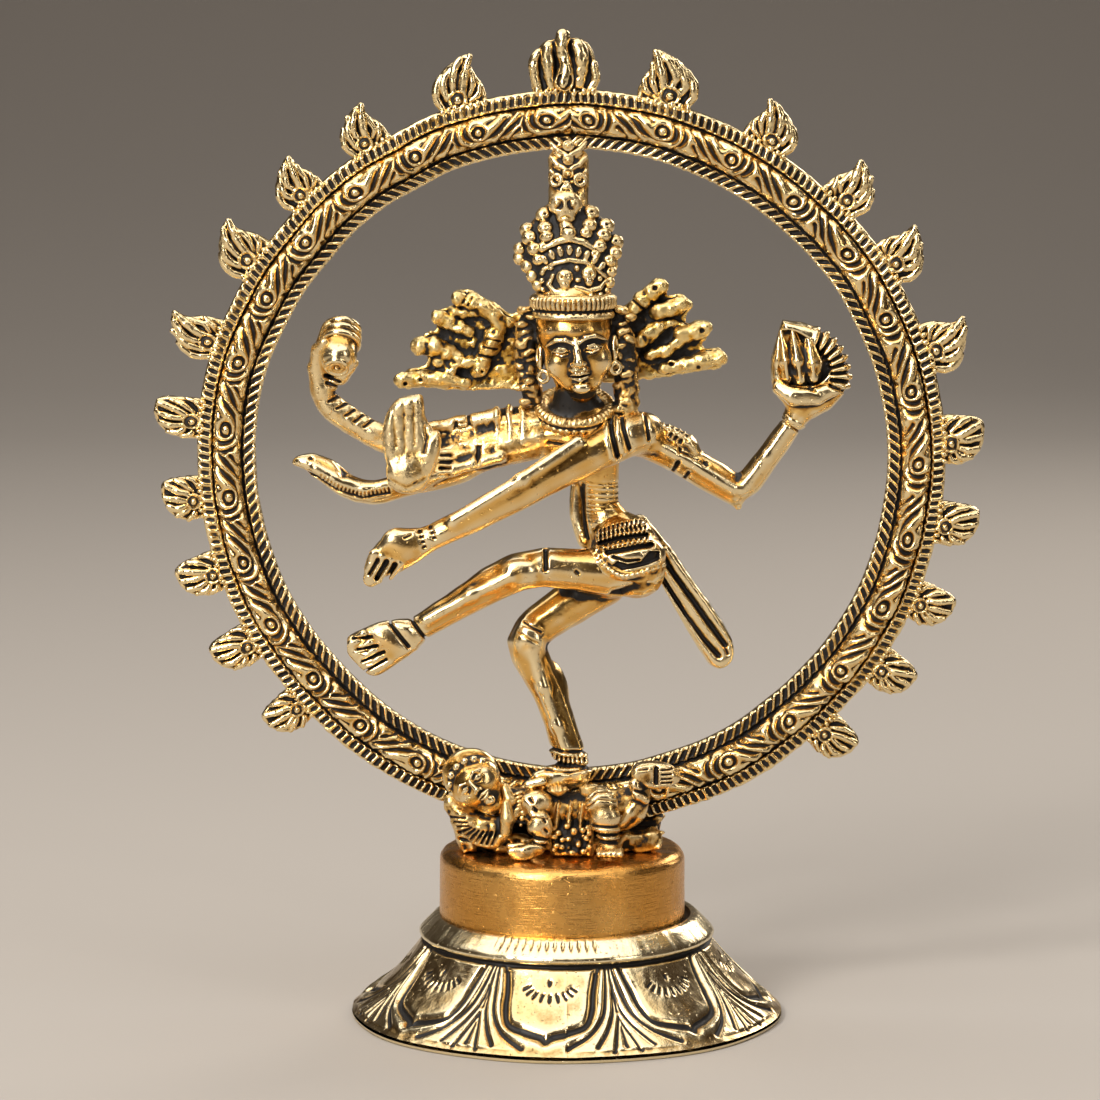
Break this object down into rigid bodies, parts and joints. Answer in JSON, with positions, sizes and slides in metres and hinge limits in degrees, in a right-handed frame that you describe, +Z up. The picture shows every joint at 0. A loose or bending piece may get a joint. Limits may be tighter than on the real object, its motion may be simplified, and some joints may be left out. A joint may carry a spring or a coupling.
{
  "type": "brass nataraja statue",
  "caption": "Brass dancing figure with four arms in a ring of flames, one foot on a crouched dwarf, on a plain drum and a flared hollow lotus base.",
  "frame": {"origin": "centre of the lotus base on the surface it rests on", "axes": "+Z up, the statue's height; the figure faces -Y; +X is the viewer's right"},
  "size_m": [0.1483, 0.078, 0.178],
  "materials": {
    "lotus_base_brass": "polished high spots over a near-black patina",
    "turned_drum_brass": "satin, hand finished",
    "fixing_steel": "dull zinc",
    "dwarf_brass": "dark antique patina, polished on the high spots",
    "ring_brass": "polished relief over a near-black patina",
    "rough_brass": "rough, as cast, bright yellow",
    "figure_brass": "hand polished over a dark patina"
  },
  "bodies": {
    "root": {"lotus_base": "lotus_base_brass", "pedestal_drum": "turned_drum_brass", "fixing_stud": "fixing_steel", "fixing_washer": "fixing_steel", "fixing_nut": "fixing_steel", "figure_plinth": "dwarf_brass", "dwarf_torso": "dwarf_brass", "dwarf_head": "dwarf_brass", "dwarf_near_arm": "dwarf_brass", "dwarf_far_arm": "dwarf_brass", "dwarf_front_leg": "dwarf_brass", "dwarf_raised_leg": "dwarf_brass", "dwarf_loincloth": "dwarf_brass", "ring_band": "ring_brass", "flame_top": "ring_brass", "flame_left_01": "ring_brass", "flame_left_02": "ring_brass", "flame_left_03": "ring_brass", "flame_left_04": "ring_brass", "flame_left_05": "ring_brass", "flame_left_06": "ring_brass", "flame_left_07": "ring_brass", "flame_left_08": "ring_brass", "flame_left_09": "ring_brass", "flame_left_10": "ring_brass", "flame_right_01": "ring_brass", "flame_right_02": "ring_brass", "flame_right_03": "ring_brass", "flame_right_04": "ring_brass", "flame_right_05": "ring_brass", "flame_right_06": "ring_brass", "flame_right_07": "ring_brass", "flame_right_08": "ring_brass", "flame_right_09": "ring_brass", "flame_right_10": "ring_brass", "crown_stay": "ring_brass", "hair_wing_left": "rough_brass", "hair_wing_right": "rough_brass", "crown": "figure_brass", "diadem": "figure_brass", "head": "figure_brass", "necklace": "figure_brass", "side_lock_left": "figure_brass", "side_lock_right": "figure_brass", "torso": "figure_brass", "hip_wrap": "figure_brass", "sash_tail": "figure_brass", "standing_leg": "figure_brass", "raised_leg": "figure_brass", "rear_right_arm": "figure_brass", "hand_drum": "figure_brass", "front_right_arm": "figure_brass", "arm_serpent": "figure_brass", "front_left_arm": "figure_brass", "rear_left_arm": "figure_brass", "shoulder_ribbon": "figure_brass", "fire_hand": "figure_brass", "fire_tongues": "figure_brass"}
  },
  "joints": []
}
